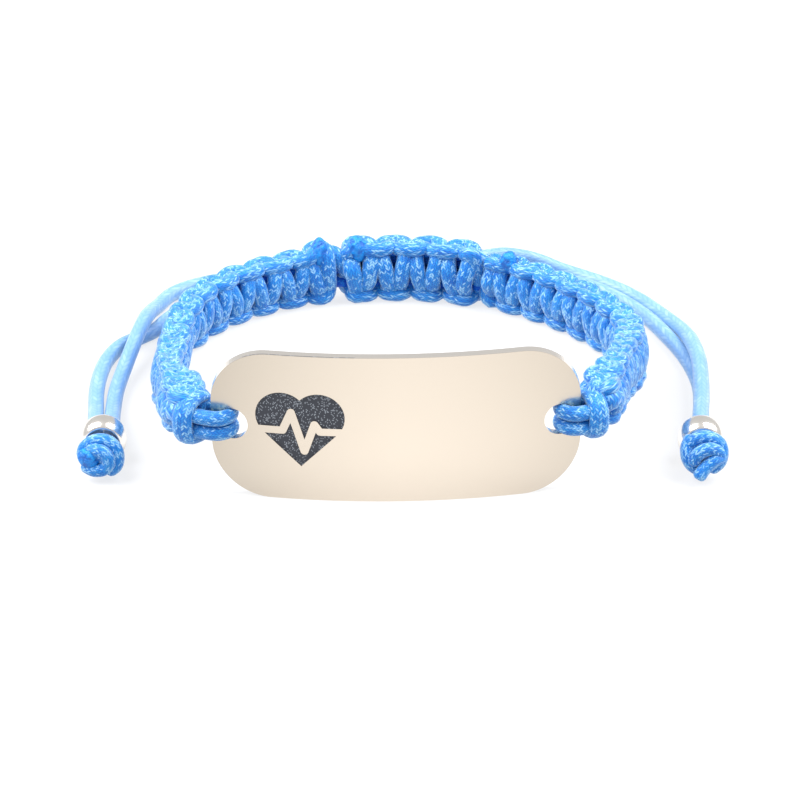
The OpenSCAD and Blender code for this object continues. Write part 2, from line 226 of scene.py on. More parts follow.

# %% [markdown]
# ## Cord tails
# Two thin cords leave each end of the sliding knot, lie loosely round the outside of the straps
# and come forward to a bead and a knot. The left pair crosses once in a long low hump. The right
# pair comes together, one cord on top of the other. Elsewhere they lie on the surface, so nothing
# hangs in the air. A simulation could drop them there, but they are laid along the very points
# that their solids follow.

# %% Cord tails
CORD_D = 1.9
TAIL_ROUTES = {
    "left_outer_tail": [
        (-8.75, 27.4, 5), (-11.5, 28.9, 4), (-15, 29.8, 2.4), (-19, 29.9, 1.2), (-23, 29.2, 1),
        (-27, 27.3, 1), (-29.6, 24.8, 1), (-31, 21.2, 1.2), (-31.8, 17.3, 2.1),
        (-32.2, 13.2, 2.95), (-32.95, 8.8, 2.6), (-33.9, 3.6, 1.6), (-34.55, -1.6, 1.1),
        (-34.6, -6.6, 1.1), (-34.35, -11.2, 2), (-34.02, -15, 2.7), (-33.97, -18.45, 2.7),
    ],
    "left_inner_tail": [
        (-8.75, 27.4, 3), (-12, 28, 1.8), (-16, 27.7, 1), (-20, 26.9, 1), (-24, 24.6, 1),
        (-27.3, 21.2, 1), (-29.5, 17.7, 1), (-31, 14.6, 1), (-33, 12.4, 1), (-35.1, 10, 1),
        (-36.4, 6.2, 1), (-36.9, 2, 1), (-36.95, -2.4, 1), (-36.65, -6.8, 1.1),
        (-36.3, -11.2, 2), (-35.95, -15, 2.7), (-35.87, -18.45, 2.7),
    ],
    "right_outer_tail": [
        (10.1, 26.3, 5), (13.3, 28.5, 4.3), (17, 30, 2.9), (20.5, 29.7, 1.5), (23.8, 28.1, 1),
        (26.9, 25.3, 1), (29.9, 21.5, 1), (32.3, 17, 1.1), (34.1, 12.2, 1.6),
        (34.75, 9.4, 2.05), (35.15, 6.4, 2.5), (35.45, 1, 2.95), (35.25, -4.5, 2.95),
        (34.8, -10, 3.05), (34.25, -14.5, 3.45), (33.6, -20.7, 3.6),
    ],
    "right_inner_tail": [
        (10.1, 26.3, 3), (13.8, 27.7, 1.8), (18.2, 27.9, 1), (22.4, 26.6, 1), (25.4, 24, 1),
        (28.3, 20.3, 1), (30.6, 16.1, 1), (32.4, 11.4, 1), (34, 6.3, 1), (35, 1, 1),
        (35.3, -3.5, 1), (34.9, -9, 1), (34.45, -14.5, 1.5), (34.2, -20.7, 1.8),
    ],
}
tails = []
for node, route in TAIL_ROUTES.items():
    piece, centres = tube(node + "_cord", smooth_line(route), CORD_D / 2, sides=16, spacing=0.5)
    tails.append(place(piece, "blue_cord", node))

# %% [markdown]
# ## The band's own coordinates
# A knot is easiest to tie in the band's own directions: along the band, across its width and
# through its thickness. Bending finished knots with a modifier would stretch their cords, so this
# cell turns single places into real ones instead. The middle line is the one that the solids
# follow, from the plate's left end round the back to its right end.

# %% Band coordinates
PLATE_MIDDLE = np.array([-1.1, -28.0])
PLATE_MID_Z = 9.0
LEFT_START_Z, RIGHT_START_Z = PLATE_MID_Z - 0.2, PLATE_MID_Z + 0.5
REST_Z = 4.0  # the middle line's height where the band lies on the surface
AHEAD = 0.4  # how far to each side of a place the band's direction is taken
LEFT_SETTLE, RIGHT_SETTLE = 27, 33  # how far from the plate it comes to lie there
BAND_ROUTE = [
    (-22.8, -24.2), (-24.6, -23.2), (-25.9, -20.2), (-26.6, -14), (-27.1, -6), (-27.2, 2.2),
    (-26.9, 9.2), (-24.2, 15.4), (-18.8, 20.6), (-11, 24.2), (0, 25.4), (8.6, 23.4),
    (15.2, 19.7), (20.6, 14.9), (24.8, 9.4), (27.1, 3.2), (26.5, -4.4), (24.6, -12),
    (22.9, -18.8), (21.85, -22.4), (21.05, -23.75),
]
band_line, band_length = evenly(smooth_line([(x, y, 0) for x, y in BAND_ROUTE], 12), 0.05)
band_runs = np.linspace(0, band_length, len(band_line))
SLIDER_LENGTH = 18.6
SLIDER_SHIFT = 1.2
at_back = band_line[:, 1] > 0
slider_middle = np.interp(SLIDER_SHIFT, band_line[at_back, 0], band_runs[at_back])
slider_start = slider_middle - SLIDER_LENGTH / 2
slider_end = slider_middle + SLIDER_LENGTH / 2


def ease(t):
    """A soft step from 0 to 1."""
    t = np.clip(t, 0, 1)
    return t * t * (3 - 2 * t)


def band_height(s):
    """Height of the band's middle line: it comes down from the plate's holes to the surface."""
    from_left = LEFT_START_Z + (REST_Z - LEFT_START_Z) * ease(s / LEFT_SETTLE)
    from_right = RIGHT_START_Z + (REST_Z - RIGHT_START_Z) * ease((band_length - s) / RIGHT_SETTLE)
    return np.where(s < band_length / 2, from_left, from_right)


def on_line(s):
    """The middle line's place, seen from above."""
    return np.stack([np.interp(s, band_runs, band_line[:, k]) for k in (0, 1)])


def band_place(s, across, inward):
    """The real place at a distance along the band, across its width and towards the wrist."""
    inside = np.clip(s, 0, band_length)
    along = on_line(inside + AHEAD) - on_line(inside - AHEAD)
    along /= np.linalg.norm(along, axis=0)
    x, y = on_line(inside) + along * (s - inside) + np.stack([along[1], -along[0]]) * inward
    return np.stack([x, y, band_height(inside) + across], axis=-1)


print("the band is", round(band_length, 1), "mm long")
print("its sliding knot starts at", round(slider_start, 1))

# %% [markdown]
# ## Square knots
# The straps are a row of square knots. Two working cords cross the core in turn, one over the
# inner face and one over the outer face, and at each edge one of them loops round the other.
# The rows below are half a knot of one cord: how far along, across and through it is. The other
# half is its mirror image, and the second cord is the first one turned over. A simulated knot
# would take long and come out a little differently each time, and these rows don't.

# %% One half of a square knot
HALF_KNOT = [
    # along the knot, across the band, through it
    (0.00, -1.10, -0.78), (0.14, -1.11, -0.76), (0.27, -1.10, -0.50), (0.345, -1.02, 0.05),
    (0.365, -0.84, 0.52), (0.35, -0.60, 0.80), (0.305, -0.33, 1.00), (0.25, 0.00, 1.05),
    (0.195, 0.33, 1.00), (0.15, 0.60, 0.72), (0.13, 0.82, 0.24), (0.155, 0.98, -0.2),
    (0.26, 1.08, -0.62),
]
WIDEST, THICKEST = 1.11, 1.05
print("half a square knot is drawn by", len(HALF_KNOT), "points")

# %% [markdown]
# ## Cords pressed flat
# A knot pulled tight presses its cords flat. Scaling a finished tube would flatten it in one
# direction of the room, but the band turns. So each tube is made round, in a narrowed copy of
# the band's directions, and comes out wider and thinner when it is laid in place.

# %% Pressed cords
PRESSED_WIDE, PRESSED_THIN = 1.28, 0.9
CLEAR_OF_FLOOR = 0.01


def pressed(s, across, inward):
    """A place in the band's directions, drawn narrow and deep: a round tube there ends up flat."""
    return np.array([s / PRESSED_WIDE, across, inward / PRESSED_THIN])


def on_band(points):
    """The real places of points drawn like that, none of them below the surface they lie on."""
    placed = band_place(points[:, 0] * PRESSED_WIDE, points[:, 1], points[:, 2] * PRESSED_THIN)
    placed[:, 2] = placed[:, 2].clip(CLEAR_OF_FLOOR)
    return placed


print("a pressed cord is", round(PRESSED_WIDE / PRESSED_THIN, 2), "times as wide as it is thick")

# %% [markdown]
# ## A working cord
# The knots of the real straps aren't all alike: they are pulled closer together at the plate and
# at the sliding knot. An array of one finished knot would show its repeats. Here a whole cord is
# drawn at once, knot by knot, with its size asked for at every point, and a little slack is left
# to chance.

# %% Working cords
SLACK = 0.05  # how far chance may move a point of a working cord
LEFT_PULL, RIGHT_PULL, PLATE_FADE = 1.6, 0.6, 5  # how much tighter knots are at the plate's ends
SLIDER_PULLS, SLIDER_FADE = ((slider_start, 0.6), (slider_end, 0.3)), 1.3  # and at the closure's
TUCK = ((0.4, 0.86), (0.58, 0.5), (0.45, 0.15))  # steps along a cord's end, and its shrinking reach


def tighter(s):
    """Knots are pulled closer together at the plate, and a little where a piece ends."""
    s += LEFT_PULL * math.exp(-s / PLATE_FADE)
    s -= RIGHT_PULL * math.exp((s - band_length) / PLATE_FADE)
    for edge, pull in SLIDER_PULLS:
        s += math.copysign(pull, s - edge) * math.exp(-abs(s - edge) / SLIDER_FADE)
    return s


def working_cord(start, end, bump, pitch, size_at, radius, turned):
    """One working cord's line through its square knots, with both ends tucked into the core."""
    points = []
    face = -1 if turned else 1
    margin = 0.6 * radius
    first = math.floor(2 * (start - bump) / pitch) - 3
    last = math.ceil(2 * (end - bump) / pitch) + 3
    for half in range(first, last):
        side = face if half % 2 == 0 else -face
        for along, across, through in HALF_KNOT:
            s = tighter((half / 2 + along) * pitch + bump)
            if not start + margin <= s <= end - margin:
                continue
            width, thickness, rise, drop, bow, lean = size_at(s)
            u = side * across
            half_width = (width / 2 - radius) / WIDEST
            half_thickness = (thickness / 2 - radius * PRESSED_THIN) / THICKEST
            level = u * half_width + rise * max(0, u) - drop
            depth = face * through * half_thickness + bow - lean * level
            spot = pressed(s, level, depth)
            points.append(spot + [chance.uniform(-SLACK, SLACK) for _ in range(3)])
    before, after = (
        [points[tip] * [1, share, share] + [onward * ahead, 0, 0] for onward, share in TUCK]
        for tip, ahead in ((0, -1), (-1, 1))
    )
    return smooth_line(before[::-1] + points + after, 6)


print("the first knots are pulled", round(tighter(2.0) - 2.0, 1), "mm closer together")

# %% [markdown]
# ## Sizes along the straps
# A strap is narrow and thick at the plate and widens over its first knots. Beside the sliding
# knot the left one's last knot stands up, with the melted ends of its cords. Behind its first
# knots each strap bows outwards, with its lower edge furthest out, and the left one does so more.
# These sizes change smoothly, so they are written as soft steps or as stations to go between.

# %% Strap sizes
LEFT_FIRST_WIDTH, RIGHT_FIRST_WIDTH, STRAP_WIDTH, LAST_WIDTH = 5.0, 6.1, 7.2, 7.9
STRAP_THICKNESS = 4.4
LAST_RISE = 0.9
STRAP_R = 0.91
# How far the straps bow towards the wrist, and lean, at distances from the plate
LEFT_BOW = (
    (0, 0.4), (3, 0.55), (6, 0.75), (9, 0.6), (13, -0.4), (19, -0.95), (25, -0.75), (31, -0.5),
    (38, 0),
)
LEFT_LEAN = ((6, 0), (14, -0.06), (20, -0.12), (28, -0.16), (34, -0.2), (39, -0.08), (43, 0))
RIGHT_BOW = ((4, 0), (8, -0.45), (13, -0.4), (20, -0.15), (28, 0))
RIGHT_LEAN = ((0, 0.04), (5, 0.02), (10, 0), (16, -0.08), (24, -0.08), (30, 0))


def between(s, stations):
    """A size at a running length, from its sizes at a few places."""
    return np.interp(s, *zip(*stations))


def strap_size(s):
    """A strap at a running length: width, thickness, its top edge's rise, drop, bow and lean."""
    out = min(s, band_length - s)  # distance from the plate
    drop = 0.3 * ease((out - 20) / 10)  # it settles a little where it lies on the surface
    if s > band_length / 2:
        grown = ease(out / 6)
        width = RIGHT_FIRST_WIDTH + (STRAP_WIDTH - RIGHT_FIRST_WIDTH) * grown
        fullness = 1.3 - 0.49 * ease((out - 1) / 10) + 0.19 * ease((out - 13) / 9)
        rise, drop = 0, drop - 0.25 * (1 - grown)
        bow, lean = between(out, RIGHT_BOW), between(out, RIGHT_LEAN)
    else:
        grown = ease(out / 9)
        width = LEFT_FIRST_WIDTH + (STRAP_WIDTH - LEFT_FIRST_WIDTH) * grown
        fullness = 1.42 - 0.68 * ease((out - 6) / 8) + 0.26 * ease((out - 15) / 8)
        rise = LAST_RISE * (1 - ease((slider_start - s) / 2.6 - 1)) if s < slider_start else 0
        drop -= 0.9 * (1 - grown)
        bow, lean = between(out, LEFT_BOW), between(out, LEFT_LEAN)
    return width, STRAP_THICKNESS * fullness, rise, drop, bow, lean


for s in (1, 12, 30):
    print("the left strap,", s, "mm from the plate, is", round(strap_size(s)[0], 1), "mm wide")

# %% [markdown]
# ## Tying the straps
# In each strap two working cords are tied over two core cords. A real working cord runs on
# through all the knots of its strap, so it is one long tube here too. Each tube starts at its own
# place in the braid's pattern, so no two of them look alike.

# %% Straps
PIECE_GAP = 0.3
CORE_R, CORE_LEVEL = 0.9, 0.95
STRAP_SPANS = {
    # from, to, a bump's middle, length of a knot, and how far past its ends the core goes
    "left_strap": (
        1.0, slider_start - PIECE_GAP - 1.1, slider_start - 0.25, 4.1, (0.9, 2.6),
    ),
    "right_strap": (
        slider_end + PIECE_GAP + 0.7, band_length - 0.1, slider_end + 2.4, 3.8, (-1.8, -0.9),
    ),
}
cords, cores = [], []
for node, (start, end, bump, pitch, core_ends) in STRAP_SPANS.items():
    for turned, side_name in ((False, "inner"), (True, "outer")):
        line = working_cord(start, end, bump, pitch, strap_size, STRAP_R, turned)
        piece, _ = tube(
            f"{node}_{side_name}_knots", line, STRAP_R, spacing=0.25, uv_start=37.0 * len(cords),
            laid=on_band,
        )
        cords.append(place(piece, "blue_cord", node))
    for level_at, level_name in ((-CORE_LEVEL, "low"), (CORE_LEVEL, "high")):
        line = []
        for s in np.arange(start + core_ends[0], end + core_ends[1], 1.0):
            drop, bow = strap_size(s)[3:5]
            line.append(band_place(s, level_at - drop, bow))
        piece, _ = tube(f"{node}_core_{level_name}", line, CORE_R, spacing=0.8)
        cores.append(place(piece, "blue_cord", node))
    print(node, "runs from", round(start, 1), "to", round(end, 1))

# %% [markdown]
# ## The gap beside the sliding knot
# At the left strap's end one last turn of cord stands beside the gap: a single bar over the
# inner face whose ends go round the edges. A strand of the working cord crosses the gap from its
# top edge, down towards the core inside the sliding knot. Neither is a whole knot, so each is
# drawn by points of its own.

# %% Strands at the gap
GAP_STRANDS = {
    # along from the sliding knot, across the band, through it
    "left_strap_last_turn": [
        (-1.9, 1.6, -1.2), (-1.85, 2.8, -0.8), (-1.8, 3.15, 0.0), (-1.75, 2.6, 0.95),
        (-1.7, 1.2, 1.2), (-1.65, -0.3, 1.15), (-1.6, -1.4, 0.85), (-1.55, -1.9, 0.1),
        (-1.5, -1.6, -0.8), (-1.45, -0.8, -1.2),
    ],
    "left_strap_crossing": [
        (-1.9, 2.3, -0.9), (-1.1, 2.7, -0.3), (-0.4, 2.5, 0.3), (0.2, 1.7, 0.6), (0.7, 0.7, 0.6),
        (1.2, -0.2, 0.3), (1.8, -0.6, 0),
    ],
}
for name, places in GAP_STRANDS.items():
    line = [pressed(slider_start + along, across, through) for along, across, through in places]
    strand, _ = tube(
        name, smooth_line(line, 6), STRAP_R, spacing=0.36, uv_start=31.0 * len(cords), laid=on_band
    )
    cords.append(place(strand, "blue_cord", "left_strap"))
print("strands at the gap:", ", ".join(GAP_STRANDS))

# %% [markdown]
# ## Sliding knot
# The closure is a short row of the same knots tied over the core cords of both straps, so it is
# wider and thicker than they are and can be pushed along them. The function that tied the straps
# ties it too, with other sizes, so that both look like the work of one hand.

# %% Sliding knot
SLIDER_WIDTH, SLIDER_THICKNESS = 8.7, 5.1
SLIDER_KNOT_WIDTH = 8.1  # the knots are a little slimmer than the solid
SLIDER_R = 0.94
SLIDER_LIFT = (SLIDER_WIDTH - LAST_WIDTH) / 2
SLIDER_DROP = 0.3 - SLIDER_LIFT
SLIDER_PITCH = 4.4
SLIDER_CORES = ((-2.1, 0), (-0.7, 0.2), (0.7, -0.2), (2.1, 0))  # across the band, and through it
SLIDER_CORE_R = 0.85
knots_start, knots_end, cores_end = slider_start + 0.9, slider_end + 0.4, slider_end - 0.8


def slider_size(s):
    """The closure's size, even all along it: width, thickness, rise, drop, bow and lean."""
    return SLIDER_KNOT_WIDTH, SLIDER_THICKNESS, 0, SLIDER_DROP, 0, 0


for turned, side_name in ((False, "inner"), (True, "outer")):
    bump = slider_start + 0.4
    line = working_cord(
        knots_start, knots_end, bump, SLIDER_PITCH, slider_size, SLIDER_R, turned
    )
    piece, _ = tube(
        f"sliding_knot_{side_name}_knots", line, SLIDER_R, spacing=0.25,
        uv_start=37.0 * len(cords), laid=on_band,
    )
    cords.append(place(piece, "blue_cord", "sliding_knot"))
for number, (level_at, inward) in enumerate(SLIDER_CORES):
    stations = np.arange(knots_start, cores_end, 1.0)
    line = [band_place(s, level_at + SLIDER_LIFT, inward) for s in stations]
    piece, _ = tube(f"sliding_knot_core_{number}", line, SLIDER_CORE_R, spacing=0.8)
    cores.append(place(piece, "blue_cord", "sliding_knot"))
print("the sliding knot has", math.floor(SLIDER_LENGTH / SLIDER_PITCH), "whole knots")

# %% [markdown]
# ## Tail roots
# The four tails come out of the sliding knot's ends. Longer tails could start inside it, but then
# the part in the knot would count as loose cord. So a short root of each dives into the knot.

# %% Tail roots
TAIL_DIVES = {
    # how far a root goes on along its tail, and towards the wrist
    "left": ((-0.4, 0), (0.3, 0.3), (0.8, 1.3), (1.0, 2.4)),
    "right": ((-0.4, 0), (0.5, 0.05), (1.6, 0.5), (2.5, 1.4)),
}
roots = []
for node, route in TAIL_ROUTES.items():
    dive = TAIL_DIVES["left" if node.startswith("left") else "right"]
    root = np.array(route[0])
    inwards = unit((root - route[1]) * [1, 1, 0])
    line = smooth_line([root + inwards * onwards - [0, deep, 0] for onwards, deep in dive], 6)
    piece, _ = tube(node.replace("tail", "root"), line, CORD_D / 2, sides=16, spacing=0.4)
    roots.append(place(piece, "blue_cord", "sliding_knot"))
print(len(roots), "tails come out of the sliding knot")

# %% [markdown]
# ## Melted ends
# Where a working cord is cut off, its end is melted into a small smooth lump that can't fray. One
# stands at the top of each strap's last knot, and one at the start of the sliding knot. A lump
# could be sculpted by hand. Here it is a ball pushed in and out a little by a few soft waves,
# which come out the same in every run.


# %% Melted ends
WAVE_HEIGHT = 0.035  # as a share of the lump's radius
LUMP_INWARD = 0.45  # how far towards the wrist the band's lumps stand


def melted_lump(name, centre, radii, seed):
    """A lump of melted nylon, in millimetres."""
    luck = random.Random(seed)
    ball = bmesh.new()
    bmesh.ops.create_icosphere(ball, subdivisions=4, radius=1)
    waves = [
        (Vector([luck.uniform(-3, 3) for _ in range(3)]), luck.uniform(0, 6)) for _ in range(5)
    ]
    for vertex in ball.verts:
        push = 1 + WAVE_HEIGHT * sum(math.sin(wave.dot(vertex.co) + shift) for wave, shift in waves)
        spot = Vector([c * r * push for c, r in zip(vertex.co, radii)]) + Vector(centre)
        vertex.co = spot * MM
    mesh = bpy.data.meshes.new(name)
    ball.to_mesh(mesh)
    ball.free()
    mesh.shade_smooth()
    piece = bpy.data.objects.new(name, mesh)
    scene.collection.objects.link(piece)
    return piece


lumps = []
for name, node, s, across, radii in (
    # the piece, its solid, along the band, across it, and the lump's three radii
    ("left_strap_melted_end", "left_strap", slider_start - 2.6, 3.2, (1.05, 1.3, 1.85)),
    ("right_strap_melted_end", "right_strap", slider_end + 3.9, 2.9, (1.15, 1.3, 1.6)),
    ("sliding_knot_melted_end", "sliding_knot", slider_start + 2.3, 3.15, (1.35, 1.5, 1.7)),
):
    lump = melted_lump(name, band_place(s, across, LUMP_INWARD), radii, len(lumps))
    lumps.append(place(lump, "blue_cord", node))
print("melted ends:", len(lumps))

# %% [markdown]
# ## Cord loops at the plate
# Two strands come out from under each strap's first knot, pass in front of the plate's rim,
# through its hole and back behind it. Each is a half turn with straight legs, bent just enough
# to clear the steel. Places are given from the hole's middle, so that both sides of the plate
# share one piece of code.

# %% Cord loops
PLATE_BEND = 74.0
PLATE_THICKNESS = 1.1
PLATE_LENGTH, HOLE_FROM_END = 42, 2.35
HOLE_ANGLE = (PLATE_LENGTH / 2 - HOLE_FROM_END) / PLATE_BEND
LOOP_R, LOOP_BEND, LOOP_OUT = 0.88, 1.6, 1.8
LOOPS_APART = 0.04  # the slit between the upper and the lower one
LOOP_LEGS = {"left": 3.4, "right": 2.6}
LOOP_PINCH = 0.42  # how much closer together the legs are where they reach the strap
HALF_TURN, LEG_STEPS = 20, 4  # points along a loop's bend and along each leg


def at_hole(side, out, inward, height):
    """A place given from a hole's middle: outwards along the plate, into it, and up."""
    a = side * HOLE_ANGLE
    along = np.array([math.cos(a), math.sin(a)]) * side
    into = np.array([-math.sin(a), math.cos(a)])
    middle = PLATE_MIDDLE + [0, PLATE_BEND] - PLATE_BEND * into
    spot = middle + along * out + into * inward
    return np.array([spot[0], spot[1], PLATE_MID_Z + height])


for side, name in ((-1, "left"), (1, "right")):
    for rank, where in ((1, "upper"), (-1, "lower")):
        height, full_leg = rank * (LOOP_R + LOOPS_APART / 2), LOOP_LEGS[name]
        line = []
        for step in range(-LEG_STEPS, HALF_TURN + LEG_STEPS + 1):
            angle = math.pi * min(max(step, 0), HALF_TURN) / HALF_TURN
            down_leg = max(-step, 0, step - HALF_TURN) / LEG_STEPS
            out = LOOP_OUT - LOOP_BEND * math.sin(angle) + down_leg * full_leg
            reach = LOOP_BEND * (1 - LOOP_PINCH * down_leg**2)
            inward = PLATE_THICKNESS / 2 - reach * math.cos(angle)
            line.append(at_hole(side, out, inward, height))
        node = f"{name}_{where}_loop"
        piece, _ = tube(
            node + "_cord", line, LOOP_R, sides=16, spacing=0.35, uv_start=11.0 * len(cords)
        )
        cords.append(place(piece, "blue_cord", node))
print("cord pieces so far:", len(cords))

# %% [markdown]
# ## Collars
# One turn of cord holds the legs of the loops together where they go into a strap. It starts and
# ends on the wrist's side, where both ends dive under it. A torus would be simpler, but this turn
# is pulled tight round two cords, so it is a rounded square, pressed wide and thin. The left one
# slants because its strap turns away sooner.

# %% Collars
COLLAR_R, COLLAR_PRESSED, COLLAR_DEPTH = 0.7, 1.7, 2.35
COLLAR_ADVANCE = 0.5  # how far its two ends are apart, outwards
SQUARENESS = 0.8  # below 1, the turn is a rounded square
DIVE = 0.4  # how far the ends go under, as a share of the turn's size
COLLARS = {
    # side, outwards from the hole, slant, and half its height
    "left": (-1, 4.4, 0.34, 2.3),
    "right": (1, 3.75, 0.08, 2.1),
}
for name, (side, out, slant, half_height) in COLLARS.items():
    line = []
    for t in np.linspace(0, 1, 33):
        around = math.pi * (0.5 + 2 * t)
        up_by, in_by = (
            math.copysign(abs(k) ** SQUARENESS, k) for k in (math.cos(around), math.sin(around))
        )
        size = 1 - DIVE * (2 * t - 1) ** 8
        depth = COLLAR_DEPTH * in_by * size
        outwards = out - slant * depth + COLLAR_ADVANCE * (t - 0.5)
        line.append((outwards / COLLAR_PRESSED, depth, half_height * up_by * size))

    def at_collar(points, side=side):
        """The real places of a collar's points, which are drawn narrow."""
        middle = PLATE_THICKNESS / 2
        return np.array([at_hole(side, a * COLLAR_PRESSED, middle + b, c) for a, b, c in points])

    collar, _ = tube(
        f"{name}_strap_collar", smooth_line(line, 2), COLLAR_R, spacing=0.3,
        uv_start=29.0 * len(cords), laid=at_collar,
    )
    cords.append(place(collar, "blue_cord", f"{name}_strap"))
print("collars:", ", ".join(COLLARS))

# %% [markdown]
# ## Turned pieces
# A turned piece is one profile spun round an axis, so it is made as a lathe would make it. A
# bevelled cylinder with a hole cut through it would do too, but its rims are harder to round.


# %% Turned pieces
SEGMENTS = 96  # faces round the axis


def turned_ring(name, profile, centre, axis):
    """A closed profile of (distance from the axis, distance along it), spun into a ring."""
    axis = unit(np.array(axis, float))
    side = unit(np.cross(axis, [0.0, 0.0, 1.0]))
    over = np.cross(axis, side)
    points, faces = [], []
    count = len(profile)
    for i in range(SEGMENTS):
        a = 2 * math.pi * i / SEGMENTS
        out = math.cos(a) * side + math.sin(a) * over
        for distance, along in profile:
            points.append((np.array(centre) + out * distance + axis * along) * MM)
        for j in range(count):
            k = (j + 1) % count
            n = (i + 1) % SEGMENTS
            faces.append((i * count + j, i * count + k, n * count + k, n * count + j))
    mesh = bpy.data.meshes.new(name)
    mesh.from_pydata([tuple(p) for p in points], [], faces)
    solid = bmesh.new()
    solid.from_mesh(mesh)
    bmesh.ops.recalc_face_normals(solid, faces=solid.faces)
    solid.to_mesh(mesh)
    solid.free()
    mesh.shade_smooth()
    piece = bpy.data.objects.new(name, mesh)
    scene.collection.objects.link(piece)
    return piece


print("a turned piece has", SEGMENTS, "faces round its axis")

# %% [markdown]
# ## Beads
# Each bead is a steel ring with rounded rims, wide enough for two cords. Its profile is half an
# oval on the wall of the bore, with a few points down the bore.

# %% Beads
BEAD_R, BEAD_HALF, BORE_R = 2.7, 1.6, 1.98
BEADS = {"left_bead": (-34.9, -17, 2.7), "right_bead": (33.9, -19.2, 2.7)}
bead_profile = []
for step in range(33):
    a = math.pi * (step / 32 - 0.5)
    wall = (BEAD_R - BORE_R) * math.cos(a) ** 0.8
    bead_profile.append((BORE_R + wall, BEAD_HALF * math.sin(a)))
bead_profile += [(BORE_R, BEAD_HALF * t) for t in (0.6, 0, -0.6)]
beads = []
for node, centre in BEADS.items():
    ring = turned_ring(node + "_ring", bead_profile, centre, (0, 1, 0))
    beads.append(place(ring, "bead_steel", node))
    print(node, "is", 2 * BEAD_R, "mm across")

# %% [markdown]
# ## Winding
# Cord wound round something lies side by side, as thread does on a spool. Blender has a screw
# modifier for this, but the line alone is enough here, as a tube is laid along it.


# %% Winding
def winding(centre, axis, radius, width, turns, start_angle):
    """Points of a cord wound round an axis, going along it as it turns."""
    axis = unit(np.array(axis, float))
    side = unit(np.cross([0.0, 0.0, 1.0], axis))
    over = np.cross(axis, side)
    points = []
    count = int(24 * turns)
    for k in range(count + 1):
        t = k / count
        a = start_angle + 2 * math.pi * turns * t
        out = math.cos(a) * side + math.sin(a) * over
        points.append(np.array(centre) + out * radius + axis * width * (t - 0.5))
    return points


coil = winding((0, 0, 0), (0, 1, 0), radius=1, width=1, turns=2, start_angle=0)
print("two turns are drawn by", len(coil), "points")

# %% [markdown]
# ## End knots
# Below each bead the two cords are tied off in one knot, so that the bead can't slip away. A true
# overhand knot hides most of its cord. So a wound heart fills it here, and only the turns that
# are in sight are laid over it, with the cut and melted end standing out. Their places are read
# as a viewer sees them: to the right, up, and towards the eye.

# %% Turns of the end knots
PICTURE_AXES = np.array([level, upright, back])
END_KNOTS = {
    # middle, axis, and each turn as places to the right, up and towards the viewer
    "left_end_knot": ((-34.9, -20.9, 2.55), (-0.37, -0.93, 0), {
        "outer_turn": [
            (-2.0, 0.2, 0.2), (-1.7, 0.95, 0.7), (-0.8, 1.6, 1.0), (0.25, 1.75, 1.15),
            (1.15, 1.45, 1.2), (1.8, 0.75, 1.1), (2.0, -0.15, 0.9), (1.8, -1.1, 0.6),
            (1.1, -1.65, 0.2),
        ],
        "inner_turn": [
            (-0.9, 0.7, 1.3), (-0.2, 0.6, 1.75), (0.5, 0.3, 1.9), (1.0, -0.4, 1.75),
            (0.9, -1.15, 1.35), (0.2, -1.6, 1.1), (-0.8, -1.6, 0.9), (-1.6, -1.2, 0.5),
        ],
    }),
    "right_end_knot": ((33.8, -22.95, 2.95), (0.24, -0.97, 0), {
        "side_turn": [
            (-1.5, 1.5, 0.3), (-1.9, 0.6, 0.6), (-1.85, -0.5, 0.7), (-1.4, -1.3, 0.5),
            (-0.7, -1.8, 0.1),
        ],
        "upper_turn": [
            (-1.5, 1.1, 0.7), (-0.7, 1.65, 1.1), (0.3, 1.75, 1.2), (1.2, 1.45, 1.1),
            (1.85, 0.8, 0.9), (2.0, -0.2, 0.7), (1.75, -1.1, 0.4), (1.0, -1.7, 0.1),
        ],
        "middle_turn": [
            (-1.2, -0.9, 1.2), (-0.8, -0.2, 1.6), (-0.1, 0.25, 1.8), (0.8, 0.4, 1.7),
            (1.6, 0.0, 1.2), (1.8, -0.8, 0.6),
        ],
        "cut_end": [
            (1.9, -0.6, 0.7), (1.1, -0.85, 1.4), (0.4, -1.35, 1.5), (-0.2, -2.0, 1.5),
            (-0.6, -2.6, 1.45),
        ],
    }),
}
print("turns in sight:", {node: len(turns) for node, (_, _, turns) in END_KNOTS.items()})

# %% [markdown]
# ## Tying the end knots
# The heart is wound first and the turns are laid over it. A lump of melted nylon, made as the
# ones on the band, ends the left knot.

# %% End knots
HEART_R, TURN_R = 0.9, 0.8
for node, (centre, axis, turns) in END_KNOTS.items():
    line = winding(centre, axis, radius=0.95, width=2.2, turns=2.3, start_angle=0.4)
    piece, _ = tube(
        node + "_heart", smooth_line(line, 2), HEART_R, sides=14, spacing=0.35,
        uv_start=11.0 * len(cords),
    )
    cords.append(place(piece, "blue_cord", node))
    for turn_name, places in turns.items():
        piece, _ = tube(
            f"{node}_{turn_name}", smooth_line(centre + np.array(places) @ PICTURE_AXES, 6), TURN_R,
            sides=14, spacing=0.3, uv_start=11.0 * len(cords),
        )
        cords.append(place(piece, "blue_cord", node))
plug_at = END_KNOTS["left_end_knot"][0] + np.array((-1.15, -0.2, 0.95)) @ PICTURE_AXES
plug = melted_lump("left_end_knot_melted_end", plug_at, (1.3, 1.25, 1.3), 7)
lumps.append(place(plug, "blue_cord", "left_end_knot"))
print("cord pieces in all:", len(cords), "and melted lumps:", len(lumps))

# %% [markdown]
# ## Sums on a surface
# A pattern is a sum worked out at every point of a surface. In Blender each step of it is a Math
# node, and a long one is hard to read as nodes. This class wraps a socket, so that the sum can be
# written as a sum, and each operator adds the node that does it.


